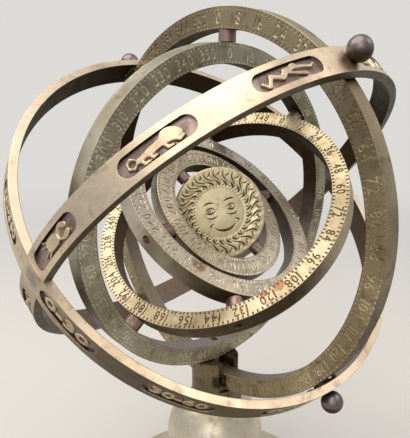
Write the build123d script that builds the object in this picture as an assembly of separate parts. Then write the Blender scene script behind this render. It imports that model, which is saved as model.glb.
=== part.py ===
"""Armillary sphere of nested brass rings: a turned stand, a cage of two crossed bands and a
sun disc hung in five planet rings, each ring turning on its own pair of pivot pins."""
import math
import os

from build123d import *

# Sun disc, millimetres
SUN_RADIUS = 23.0
SUN_THICKNESS = 5.0
FACE_INSET = 10.4
FACE_RISE = 1.3

# Planet rings from the sun outwards: gap round what is inside, width of the flat face, thickness
GAP_SUN = 4.8
WIDTH_5 = 9.6
THICKNESS_5 = 6.2
GAP_5 = 5.7
WIDTH_4 = 9.1
THICKNESS_4 = 8.8
GAP_4 = 5.4
WIDTH_3 = 8.2
THICKNESS_3 = 9.4
GAP_3 = 5.2
WIDTH_2 = 9.0
THICKNESS_2 = 9.4
GAP_2 = 5.4
WIDTH_1 = 9.4
THICKNESS_1 = 8.2

# Cage round ring 1: two bands of one size, crossing at right angles
CAGE_GAP = 1.5
BAND_THICKNESS = 3.7
BAND_WIDTH = 12.4
BAND_SKEW_ANGLE_A = 4.8
BAND_SKEW_ANGLE_B = -3.0
RECESSES = 12
RECESS_ARC = 17.4
RECESS_ANGLE_A = 1.5
RECESS_ANGLE_B = -2.5
RECESS_MARGIN = 2.4
RECESS_DEPTH = 1.3
LAP_GAP = 0.05

# Rest pose, degrees: lean of the first pivot axis, step from each ring's outer pivots to its
# inner ones, and turn of each ring about the pivots that carry it
PIVOT_LEAN_ANGLE = 2.95
ANGLE_23 = -48.36
ANGLE_34 = 46.71
ANGLE_45 = -52.9
ANGLE_SUN = -71.55
TURN_ANGLE_2 = 88.41
TURN_ANGLE_3 = -82.33
TURN_ANGLE_4 = 53.24
TURN_ANGLE_5 = 5.57
TURN_ANGLE_SUN = 47.66

# Pivot pins: a collar between two rings and a thinner stud in each of them
STUD_RADIUS = 2.0
COLLAR_RADIUS = 4.0
SUN_STUD_RADIUS = 1.5
SUN_COLLAR_RADIUS = 3.1
STUD_RECESS = 1.6
SUN_STUD_DEPTH = 5.6
SUN_BORE_PLAY = 0.4
RUN_FIT = 0.05
PRESS_FIT = 0.02
END_PLAY = 0.3
BORE_OVERRUN = 1.0

# Ball finials, pinned through the bands into the outer ring
BALL_RADIUS = 5.0
BALL_SINK = 0.6
FINIAL_PIN_RADIUS = 2.4
FINIAL_PIN_DEPTH = 6.0

# Base on the table, its axis a little to one side of the sphere's centre
STAND_OFFSET = -2.8
FELT_THICKNESS = 1.5
FELT_WIDTH = 12.0
FELT_INSET = 2.0
FOOT_RADIUS = 70.0
FOOT_HEIGHT = 5.0
EDGE_INSET = 5.0
EDGE_ROUND = 2.4
EDGE_STEP = 3.4
OGEE_REACH = 1.4
OGEE_RISE = 1.8
BASE_HEIGHT = 14.5
BASE_SKIN = 5.5
HOLLOW_INSET = 16.0
HOLLOW_DRAFT = 2.0
BOSS_RADIUS = 16.0
BOSS_DROP = 2.5
COVE_REACH = 17.0
COVE_RISE = 13.0
COVE_ACROSS = 0.3
COVE_DOWN = 0.62
NECK_COLLAR = 3.0
NECK_SHOULDER = 3.0

# Knop and forked post, one on the other over the neck
KNOP_NECK = 14.0
KNOP_RADIUS = 26.8
KNOP_LOWER_HEIGHT = 25.0
KNOP_LOWER_FULLNESS = 0.86
KNOP_CAP = 22.0
POST_RADIUS = 12.8
POST_FOOT_LIP = 1.2
POST_FOOT_STEP = 2.0
POST_FLARE = 5.0
POST_FLARE_DEPTH = 0.28
POST_UNDER_RING = 10.2
POST_TOP_OVERLAP = 6.8
FLAT_INSET = 2.2
FLAT_BELOW_RING = 2.0
FORK_GAP = 0.05
DISH_GAP = 0.6
RIVET_RADIUS = 1.5
RIVET_SIDE = 2.8
RIVET_INSET = 0.4

# Tie rod through the stand, with its nut and washer
ROD_RADIUS = 3.0
ROD_COVER = 3.2
ROD_END_PLAY = 0.5
ROD_STICK_OUT = 0.6
NUT_ACROSS_FLATS = 10.0
NUT_HEIGHT = 4.0
WASHER_RADIUS = 9.0
WASHER_THICKNESS = 1.5

# Flat rings, outer radius, inner radius and thickness, each outside the one before
ring_5_inner = SUN_RADIUS + GAP_SUN
size_5 = (ring_5_inner + WIDTH_5, ring_5_inner, THICKNESS_5)
ring_4_inner = size_5[0] + GAP_5
size_4 = (ring_4_inner + WIDTH_4, ring_4_inner, THICKNESS_4)
ring_3_inner = size_4[0] + GAP_4
size_3 = (ring_3_inner + WIDTH_3, ring_3_inner, THICKNESS_3)
ring_2_inner = size_3[0] + GAP_3
size_2 = (ring_2_inner + WIDTH_2, ring_2_inner, THICKNESS_2)
ring_1_inner = size_2[0] + GAP_2
size_1 = (ring_1_inner + WIDTH_1, ring_1_inner, THICKNESS_1)
band_inner = size_1[0] + CAGE_GAP
cage_radius = band_inner + BAND_THICKNESS
beyond_cage = 1.1 * cage_radius

# Heights above the table, stacked from the felt up to the sphere's centre
foot_level = FELT_THICKNESS
plateau_level = foot_level + BASE_HEIGHT
neck_low_level = plateau_level + COVE_RISE
neck_level = neck_low_level + NECK_COLLAR
belly_level = neck_level + KNOP_LOWER_HEIGHT
knop_level = belly_level + KNOP_CAP
slot_level = knop_level + POST_UNDER_RING
centre_height = slot_level + size_1[0]

BASE_AT_CENTRE = (Align.CENTER, Align.CENTER, Align.MIN)
CENTRE = Vector(0, 0, centre_height)
STAND = Pos(STAND_OFFSET, 0, 0)


def turned(vector, axis, degrees):
    """The vector turned about an axis through the centre."""
    return vector.rotate(Axis((0, 0, 0), axis), degrees)


def frame(x_dir, z_dir):
    """A plane at the sphere's centre."""
    return Plane(origin=CENTRE, x_dir=x_dir, z_dir=z_dir)


def rod_along(direction, start, end, radius):
    """A round bar on a ray from the centre, between two distances."""
    plane = Plane(origin=CENTRE + direction * start, z_dir=direction)
    return plane * Cylinder(radius, end - start, align=BASE_AT_CENTRE)


def flat_ring(plane, outer, inner, thickness):
    """A plain ring lying in the plane."""
    return plane * (Cylinder(outer, thickness) - Cylinder(inner, 2 * thickness))


def turned_profile(points):
    """A solid of revolution from an outline of edges."""
    return revolve(Plane.XZ * make_face(points), Axis.Z)


# Directions: pivot axes and ring normals, each ring carried by the one outside it
UP = Vector(0, 0, 1)
BACK = Vector(0, 1, 0)
normal_1 = BACK * -1
axis_12 = turned(UP, normal_1, -PIVOT_LEAN_ANGLE)
normal_2 = turned(normal_1, axis_12, TURN_ANGLE_2)
axis_23 = turned(axis_12, normal_2, ANGLE_23)
normal_3 = turned(normal_2, axis_23, TURN_ANGLE_3)
axis_34 = turned(axis_23, normal_3, ANGLE_34)
normal_4 = turned(normal_3, axis_34, TURN_ANGLE_4)
axis_45 = turned(axis_34, normal_4, ANGLE_45)
normal_5 = turned(normal_4, axis_45, TURN_ANGLE_5)
axis_sun = turned(axis_45, normal_5, ANGLE_SUN)
normal_sun = turned(normal_5, axis_sun, TURN_ANGLE_SUN)

# Directions of the cage: finial axes at 45 degrees in the outer ring's plane
finial_axis_a = turned(UP, BACK, 45)
finial_axis_b = turned(UP, BACK, -45)
normal_a = turned(BACK.cross(finial_axis_a), finial_axis_a, BAND_SKEW_ANGLE_A)
normal_b = turned(BACK.cross(finial_axis_b), finial_axis_b, BAND_SKEW_ANGLE_B)
node = normal_a.cross(normal_b).normalized()
plane_a = frame(node, normal_a)
plane_b = frame(node, normal_b)


# Cage bands: stadium recesses round the outside, half-lapped where they cross
recess_floor = cage_radius - RECESS_DEPTH
recess_length = 2 * cage_radius * math.sin(math.radians(RECESS_ARC / 2))
recess_height = BAND_WIDTH - 2 * RECESS_MARGIN


def recess_tool(turn):
    """Twelve stadium pockets, evenly spaced, with a crossing near the middle between two of them."""
    pockets = []
    for number in range(RECESSES):
        angle = 360 / RECESSES * (number + 0.5) + turn
        outward = Vector(1, 0, 0).rotate(Axis.Z, angle)
        face = Plane(origin=outward * band_inner, x_dir=UP.cross(outward), z_dir=outward)
        pockets.append(extrude(face * SlotOverall(recess_length, recess_height), 2 * BAND_THICKNESS))
    core = Cylinder(recess_floor, 2 * BAND_WIDTH)
    return [pocket - core for pocket in pockets]


def band(plane, finial_axis, recess_turn):
    """One cage band with its recesses and the two holes for its finial pins."""
    blank = Cylinder(cage_radius, BAND_WIDTH) - Cylinder(band_inner, 2 * BAND_WIDTH)
    for pocket in recess_tool(recess_turn):
        blank = blank - pocket
    placed = plane * blank
    return placed - rod_along(finial_axis, -beyond_cage, beyond_cage, FINIAL_PIN_RADIUS + PRESS_FIT)


lap_radius = cage_radius - BAND_THICKNESS / 2
slot_width = BAND_WIDTH + 2 * LAP_GAP
under_b = plane_a * Cylinder(lap_radius, slot_width)
over_a = plane_b * Cylinder(beyond_cage, slot_width) - plane_a * Cylinder(lap_radius - LAP_GAP, 2 * beyond_cage)
band_a = band(plane_a, finial_axis_a, RECESS_ANGLE_A) - over_a
band_b = band(plane_b, finial_axis_b, RECESS_ANGLE_B) - under_b


# Ball finials
def finial(direction):
    """A ball on the band with its pin set in the outer ring."""
    ball_centre = cage_radius + BALL_RADIUS - BALL_SINK
    seat = Plane(origin=CENTRE + direction * (cage_radius + PRESS_FIT), z_dir=direction)
    ball = Plane(origin=CENTRE + direction * ball_centre, z_dir=direction) * Sphere(BALL_RADIUS)
    ball = split(ball, bisect_by=seat, keep=Keep.TOP)
    return ball + rod_along(direction, size_1[0] - FINIAL_PIN_DEPTH, ball_centre, FINIAL_PIN_RADIUS)


finial_directions = [finial_axis_a, finial_axis_b, finial_axis_b * -1, finial_axis_a * -1]


# Planet rings
def both_ways(direction, start, end, radius):
    """The same bar on both sides of the centre."""
    return rod_along(direction, start, end, radius) + rod_along(direction * -1, start, end, radius)


def bores(size, direction, radius):
    """Two holes right through a ring's rim, on one axis."""
    outer, inner, _ = size
    return both_ways(direction, inner - BORE_OVERRUN, outer + BORE_OVERRUN, radius)


def planet_ring(size, normal, carried_on, carries):
    """A flat ring bored to run on its outer pivots and to hold its inner ones."""
    solid = flat_ring(frame(carried_on, normal), *size)
    return solid - bores(size, carried_on, STUD_RADIUS + RUN_FIT) - bores(size, carries, STUD_RADIUS + PRESS_FIT)


ring_1 = flat_ring(frame(axis_12, normal_1), *size_1)
ring_1 -= bores(size_1, axis_12, STUD_RADIUS + PRESS_FIT)
finial_bore = (size_1[0], size_1[0] - FINIAL_PIN_DEPTH - PRESS_FIT + BORE_OVERRUN, size_1[2])
for direction in (finial_axis_a, finial_axis_b):
    ring_1 -= bores(finial_bore, direction, FINIAL_PIN_RADIUS + PRESS_FIT)
ring_2 = planet_ring(size_2, normal_2, axis_12, axis_23)
ring_3 = planet_ring(size_3, normal_3, axis_23, axis_34)
ring_4 = planet_ring(size_4, normal_4, axis_34, axis_45)
ring_5 = flat_ring(frame(axis_45, normal_5), *size_5)
ring_5 -= bores(size_5, axis_45, STUD_RADIUS + RUN_FIT) + bores(size_5, axis_sun, SUN_STUD_RADIUS + PRESS_FIT)


# Sun disc: a coin with a swelling face on each side
def sun_outline():
    """Half the section of the sun disc, from its axis out to the rim."""
    half = SUN_THICKNESS / 2
    face = SUN_RADIUS - FACE_INSET
    crown = half + FACE_RISE
    dome_radius = (face ** 2 + FACE_RISE ** 2) / (2 * FACE_RISE)
    lean = math.asin(face / dome_radius) / 2
    mid = (dome_radius * math.sin(lean), crown - dome_radius * (1 - math.cos(lean)))
    return [
        ThreePointArc((0, crown), mid, (face, half)),
        Line((face, half), (SUN_RADIUS, half)),
        Line((SUN_RADIUS, half), (SUN_RADIUS, -half)),
        Line((SUN_RADIUS, -half), (face, -half)),
        ThreePointArc((face, -half), (mid[0], -mid[1]), (0, -crown)),
        Line((0, -crown), (0, crown)),
    ]


sun_disc = frame(axis_sun, normal_sun) * turned_profile(sun_outline())
sun_stud_end = SUN_RADIUS - SUN_STUD_DEPTH
sun_bore_end = sun_stud_end - SUN_BORE_PLAY
sun_disc -= both_ways(axis_sun, sun_bore_end, SUN_RADIUS + BORE_OVERRUN, SUN_STUD_RADIUS + RUN_FIT)


# Pivot pins
def pivot(direction, outside, inside_radius, inside_end, stud_radius, collar_radius):
    """A stud in the outer ring, a collar in the gap and a running stud in the inner piece."""
    outer, inner, _ = outside
    collar_end = math.sqrt(inner ** 2 - collar_radius ** 2) - PRESS_FIT
    stud = rod_along(direction, inside_end, outer - STUD_RECESS, stud_radius)
    return stud + rod_along(direction, inside_radius + END_PLAY, collar_end, collar_radius)


pivot_sets = {
    "pivot_12": (axis_12, size_1, size_2[0], size_2[1] + STUD_RECESS, STUD_RADIUS, COLLAR_RADIUS),
    "pivot_23": (axis_23, size_2, size_3[0], size_3[1] + STUD_RECESS, STUD_RADIUS, COLLAR_RADIUS),
    "pivot_34": (axis_34, size_3, size_4[0], size_4[1] + STUD_RECESS, STUD_RADIUS, COLLAR_RADIUS),
    "pivot_45": (axis_45, size_4, size_5[0], size_5[1] + STUD_RECESS, STUD_RADIUS, COLLAR_RADIUS),
    "pivot_sun": (axis_sun, size_5, SUN_RADIUS, sun_stud_end, SUN_STUD_RADIUS, SUN_COLLAR_RADIUS),
}


# Forked post: the slot follows the outer ring, the cheeks are dished to clear the next one and
# flats are milled on both sides of the fork
post_foot_radius = POST_RADIUS + POST_FOOT_STEP


def post_outline():
    """Half the section of the post, its flared foot standing on the knop."""
    lip = knop_level + POST_FOOT_LIP
    flare = lip + POST_FLARE
    top = slot_level + WIDTH_1 + GAP_2 + POST_TOP_OVERLAP
    hollow = (POST_RADIUS + POST_FOOT_STEP * POST_FLARE_DEPTH, lip + POST_FLARE * POST_FLARE_DEPTH)
    return [
        Line((0, knop_level), (post_foot_radius, knop_level)),
        Line((post_foot_radius, knop_level), (post_foot_radius, lip)),
        ThreePointArc((post_foot_radius, lip), hollow, (POST_RADIUS, flare)),
        Line((POST_RADIUS, flare), (POST_RADIUS, top)),
        Line((POST_RADIUS, top), (0, top)),
        Line((0, top), (0, knop_level)),
    ]


fork_slot = frame(axis_12, normal_1) * Cylinder(size_1[0] + PRESS_FIT, size_1[2] + 2 * FORK_GAP)
swept_2 = math.hypot(size_2[0], size_2[2] / 2)
flat_half = POST_RADIUS - FLAT_INSET
flat_block = Box(2 * flat_half, 3 * POST_RADIUS, 2 * size_1[0])
flat_cut = Box(4 * POST_RADIUS, 4 * POST_RADIUS, 2 * size_1[0]) - flat_block
flats = STAND * Pos(0, 0, slot_level - FLAT_BELOW_RING + size_1[0]) * flat_cut

boss_level = plateau_level - BASE_SKIN - BOSS_DROP
washer_level = boss_level - WASHER_THICKNESS
nut_level = washer_level - NUT_HEIGHT
rod_bottom = nut_level - ROD_STICK_OUT
rod_top = slot_level - ROD_COVER
rod_place = STAND * Pos(0, 0, rod_bottom)
rod_bore = rod_place * Cylinder(ROD_RADIUS + PRESS_FIT, rod_top + ROD_END_PLAY - rod_bottom, align=BASE_AT_CENTRE)

rivet_plane = Plane(origin=(STAND_OFFSET + RIVET_SIDE, 0, slot_level + WIDTH_1 / 2), z_dir=BACK)
rivet_length = 2 * (POST_RADIUS - RIVET_INSET)
fork_rivet = rivet_plane * Cylinder(RIVET_RADIUS, rivet_length)
rivet_hole = rivet_plane * Cylinder(RIVET_RADIUS + PRESS_FIT, 2 * rivet_length)
post = STAND * turned_profile(post_outline()) - fork_slot - flats
post = post - Pos(*CENTRE) * Sphere(swept_2 + DISH_GAP) - rod_bore - rivet_hole
ring_1 = ring_1 - rivet_hole


# Knop: a full round bulb drawn in to a neck
def knop_outline():
    """Half the section of the knop, a true ball above its belly."""
    seat = math.sqrt(KNOP_RADIUS ** 2 - KNOP_CAP ** 2)
    rise = math.asin(KNOP_CAP / KNOP_RADIUS) / 2
    upper = (KNOP_RADIUS * math.cos(rise), belly_level + KNOP_RADIUS * math.sin(rise))
    lower = (KNOP_RADIUS * KNOP_LOWER_FULLNESS, (belly_level + neck_level) / 2)
    return [
        Line((0, knop_level), (seat, knop_level)),
        ThreePointArc((seat, knop_level), upper, (KNOP_RADIUS, belly_level)),
        ThreePointArc((KNOP_RADIUS, belly_level), lower, (KNOP_NECK, neck_level)),
        Line((KNOP_NECK, neck_level), (0, neck_level)),
        Line((0, neck_level), (0, knop_level)),
    ]


knop = STAND * turned_profile(knop_outline()) - rod_bore


# Base: a cove rising to the neck, a flat plateau, an ogee edge and a hollow underside
def base_outline():
    """Half the section of the base."""
    neck = KNOP_NECK + NECK_SHOULDER
    cove = neck + COVE_REACH
    toe = foot_level + FOOT_HEIGHT
    edge = FOOT_RADIUS - EDGE_INSET
    shelf = edge - EDGE_ROUND
    step = plateau_level - EDGE_STEP
    ceiling = plateau_level - BASE_SKIN
    mouth = FOOT_RADIUS - HOLLOW_INSET
    cove_mid = (neck + COVE_REACH * COVE_ACROSS, neck_low_level - COVE_RISE * COVE_DOWN)
    round_mid = (edge - EDGE_ROUND / 4, plateau_level - EDGE_STEP / 3)
    ogee_mid = (edge + OGEE_REACH, toe + OGEE_RISE)
    return [
        Line((0, neck_level), (neck, neck_level)),
        Line((neck, neck_level), (neck, neck_low_level)),
        ThreePointArc((neck, neck_low_level), cove_mid, (cove, plateau_level)),
        Line((cove, plateau_level), (shelf, plateau_level)),
        ThreePointArc((shelf, plateau_level), round_mid, (edge, step)),
        ThreePointArc((edge, step), ogee_mid, (FOOT_RADIUS, toe)),
        Line((FOOT_RADIUS, toe), (FOOT_RADIUS, foot_level)),
        Line((FOOT_RADIUS, foot_level), (mouth, foot_level)),
        Line((mouth, foot_level), (mouth - HOLLOW_DRAFT, ceiling)),
        Line((mouth - HOLLOW_DRAFT, ceiling), (BOSS_RADIUS, ceiling)),
        Line((BOSS_RADIUS, ceiling), (BOSS_RADIUS, boss_level)),
        Line((BOSS_RADIUS, boss_level), (0, boss_level)),
        Line((0, boss_level), (0, neck_level)),
    ]


base_plate = STAND * turned_profile(base_outline()) - rod_bore
felt_outer = FOOT_RADIUS - FELT_INSET
felt_ring = Cylinder(felt_outer, FELT_THICKNESS, align=BASE_AT_CENTRE)
felt_ring -= Cylinder(felt_outer - FELT_WIDTH, 3 * FELT_THICKNESS)
felt_ring = STAND * felt_ring

# Tie rod, washer and nut under the base
tie_rod = rod_place * Cylinder(ROD_RADIUS, rod_top - rod_bottom, align=BASE_AT_CENTRE)
washer = Cylinder(WASHER_RADIUS, WASHER_THICKNESS, align=BASE_AT_CENTRE)
washer -= Cylinder(ROD_RADIUS + PRESS_FIT, 3 * WASHER_THICKNESS)
washer = STAND * Pos(0, 0, washer_level) * washer
nut_sketch = RegularPolygon(NUT_ACROSS_FLATS / 2, 6, major_radius=False)
nut = extrude(nut_sketch, NUT_HEIGHT) - Cylinder(ROD_RADIUS + PRESS_FIT, 3 * NUT_HEIGHT)
nut = STAND * Pos(0, 0, nut_level) * nut

nodes = {
    "base_plate": base_plate,
    "felt_ring": felt_ring,
    "knop": knop,
    "fork_post": post,
    "fork_rivet": fork_rivet,
    "tie_rod": tie_rod,
    "washer": washer,
    "nut": nut,
    "band_a": band_a,
    "band_b": band_b,
    "ring_1": ring_1,
    "ring_2": ring_2,
    "ring_3": ring_3,
    "ring_4": ring_4,
    "ring_5": ring_5,
    "sun_disc": sun_disc,
}
for number, direction in enumerate(finial_directions, start=1):
    nodes[f"finial_{number}"] = finial(direction)
for name, (direction, outside, gap_end, stud_end, stud, collar) in pivot_sets.items():
    nodes[f"{name}_a"] = pivot(direction, outside, gap_end, stud_end, stud, collar)
    nodes[f"{name}_b"] = pivot(direction * -1, outside, gap_end, stud_end, stud, collar)

os.makedirs("parts", exist_ok=True)
for name, solid in nodes.items():
    export_step(solid, f"parts/{name}.step")
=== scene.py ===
import math
import random

import bmesh
import bpy
import numpy as np
from mathutils import Matrix, Vector


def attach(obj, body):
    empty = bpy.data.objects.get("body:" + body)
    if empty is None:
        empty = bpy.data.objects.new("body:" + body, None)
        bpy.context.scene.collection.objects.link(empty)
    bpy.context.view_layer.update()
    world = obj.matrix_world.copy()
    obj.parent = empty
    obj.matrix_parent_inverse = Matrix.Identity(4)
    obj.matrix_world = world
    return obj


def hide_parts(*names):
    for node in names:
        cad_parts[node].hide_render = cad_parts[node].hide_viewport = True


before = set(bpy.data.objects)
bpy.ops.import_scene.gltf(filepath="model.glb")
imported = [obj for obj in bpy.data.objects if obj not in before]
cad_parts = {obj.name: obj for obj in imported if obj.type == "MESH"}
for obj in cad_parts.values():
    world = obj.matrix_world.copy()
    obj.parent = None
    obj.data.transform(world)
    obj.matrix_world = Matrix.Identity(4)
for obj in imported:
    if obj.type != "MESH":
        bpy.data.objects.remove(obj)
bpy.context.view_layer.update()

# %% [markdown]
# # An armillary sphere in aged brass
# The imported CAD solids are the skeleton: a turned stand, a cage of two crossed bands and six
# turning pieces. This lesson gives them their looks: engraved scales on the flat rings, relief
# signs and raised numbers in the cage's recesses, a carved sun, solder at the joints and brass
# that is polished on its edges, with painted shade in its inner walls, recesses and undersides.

MM = 0.001
CENTRE = Vector((0, 0, 184 * MM))
CAGE_RADIUS = 100 * MM
BAND_INNER = 96.3 * MM
RECESS_FLOOR = 98.7 * MM
RECESS_HALF = 4 * MM
PIN_HOLE = 2.05 * MM
SPIGOT_HOLE = 2.42 * MM
RINGS = {
    "ring_1": (94.8 * MM, 85.4 * MM, 8.2 * MM),
    "ring_2": (80.0 * MM, 71.0 * MM, 9.4 * MM),
    "ring_3": (65.8 * MM, 57.6 * MM, 9.4 * MM),
    "ring_4": (52.2 * MM, 43.1 * MM, 8.8 * MM),
    "ring_5": (37.4 * MM, 27.8 * MM, 6.2 * MM),
}
print("nodes in the frame:", len(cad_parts))

# %% [markdown]
# Every ring hangs in the one outside it. Its pivots sit on an axis that is stepped round from the
# outer ring's own pivots, and the ring is turned about that axis. The same steps as in the CAD
# give each ring's plane here, so that engravings land on its faces.

# %% Directions of the pivots and rings
def turned(vector, axis, degrees):
    """The vector turned about an axis."""
    return Matrix.Rotation(math.radians(degrees), 3, axis) @ vector


UP = Vector((0, 0, 1))
BACK = Vector((0, 1, 0))
STEPS = [("ring_2", 88.41, -48.36), ("ring_3", -82.33, 46.71), ("ring_4", 53.24, -52.9),
         ("ring_5", 5.57, -71.55), ("sun_disc", 47.66, 0)]
normal = {"ring_1": -BACK}
carried_on = {}
carries = {"ring_1": turned(UP, -BACK, -2.95)}
outside = "ring_1"
for name, turn, step in STEPS:
    carried_on[name] = carries[outside]
    normal[name] = turned(normal[outside], carried_on[name], turn)
    carries[name] = turned(carried_on[name], normal[name], step)
    outside = name
carried_on["ring_1"] = carries["ring_1"]

finial_axis_a = turned(UP, BACK, 45)
finial_axis_b = turned(UP, BACK, -45)
normal_a = turned(BACK.cross(finial_axis_a), finial_axis_a, 4.8)
normal_b = turned(BACK.cross(finial_axis_b), finial_axis_b, -3.0)
crossing = normal_a.cross(normal_b).normalized()
print("sun disc faces", tuple(round(c, 3) for c in normal["sun_disc"]))


def placed(x_dir, z_dir, drop=0.0):
    """The matrix that lays a flat drawing on a plane through the centre, moved along its normal."""
    z = z_dir.normalized()
    x = (x_dir - z * x_dir.dot(z)).normalized()
    y = z.cross(x)
    turn = Matrix((x, y, z)).transposed().to_4x4()
    return Matrix.Translation(CENTRE + z * drop) @ turn


# %% [markdown]
# A few hand tools: one that clears the selection before each operator, one that bakes a piece's
# place into its mesh, so that its object stays at the origin, and one that selects pieces.

# %% Hand tools
def start_clean():
    """Nothing selected and object mode."""
    if bpy.context.object and bpy.context.object.mode != "OBJECT":
        bpy.ops.object.mode_set(mode="OBJECT")
    bpy.ops.object.select_all(action="DESELECT")


def pick(*objects):
    """Only these objects selected, the last one active."""
    start_clean()
    for thing in objects:
        thing.select_set(True)
    bpy.context.view_layer.objects.active = objects[-1]


def settle(piece, matrix, name):
    """The piece's place goes into its mesh."""
    piece.name = name
    piece.data.name = name
    piece.data.transform(matrix)
    piece.data.update()
    return piece


def outward(piece):
    """Doubles merged and normals pointing out."""
    pick(piece)
    bpy.ops.object.mode_set(mode="EDIT")
    bpy.ops.mesh.select_all(action="SELECT")
    bpy.ops.mesh.remove_doubles(threshold=1e-6)
    bpy.ops.mesh.normals_make_consistent(inside=False)
    bpy.ops.object.mode_set(mode="OBJECT")
    return piece


def smooth(piece, degrees=30):
    """Smooth shading with sharp edges kept."""
    pick(piece)
    bpy.ops.object.shade_smooth_by_angle(angle=math.radians(degrees))


# %% [markdown]
# ## Aged brass
# Brass is yellow when it is filed and turns olive, then brown, as it is handled and left. The
# looks come from layers: a broad drift of colour, a finer mottle, painted shade in the inner walls,
# lighter towards their bottom, painted shade on the sides that look down, a mauve-grey floor with
# painted shadow along the sides of the recesses, and stains where a joint was heated. Cast grain
# and turned lines, 0.3 to 1 mm apart, are drawn in the bump.

# %% Colour and node helpers
def colour(code):
    """Linear colour from an sRGB hex code."""
    parts = [int(code[i:i + 2], 16) / 255 for i in (1, 3, 5)]
    return (*[c / 12.92 if c <= 0.04045 else ((c + 0.055) / 1.055) ** 2.4 for c in parts], 1.0)


def node(tree, kind, links=None, **settings):
    """A node with its settings, and its inputs linked or set by name or number."""
    made = tree.nodes.new(kind)
    for key, value in settings.items():
        setattr(made, key, value)
    for socket, value in (links or {}).items():
        if isinstance(value, bpy.types.NodeSocket):
            tree.links.new(value, made.inputs[socket])
        else:
            made.inputs[socket].default_value = value
    return made


def length_of(tree, vector):
    """The length of a vector."""
    return node(tree, "ShaderNodeVectorMath", {0: vector}, operation="LENGTH").outputs["Value"]


def ramp(tree, value, low, high):
    """A smooth step of a value from 0 at low to 1 at high."""
    return node(tree, "ShaderNodeMapRange", {"Value": value, "From Min": low, "From Max": high},
                interpolation_type="SMOOTHSTEP").outputs["Result"]


def mixed(tree, share, one, two, blend="MIX"):
    """Two colours mixed."""
    return node(tree, "ShaderNodeMix", {0: share, 6: one, 7: two}, data_type="RGBA",
                blend_type=blend).outputs[2]


def maths(tree, operation, one, two=0.0):
    """One step of arithmetic."""
    return node(tree, "ShaderNodeMath", {0: one, 1: two}, operation=operation).outputs[0]


def wander(tree, value, amount):
    """A noise between 0 and 1 made to swing about 0."""
    return maths(tree, "MULTIPLY", maths(tree, "SUBTRACT", value, 0.5), amount)


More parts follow.
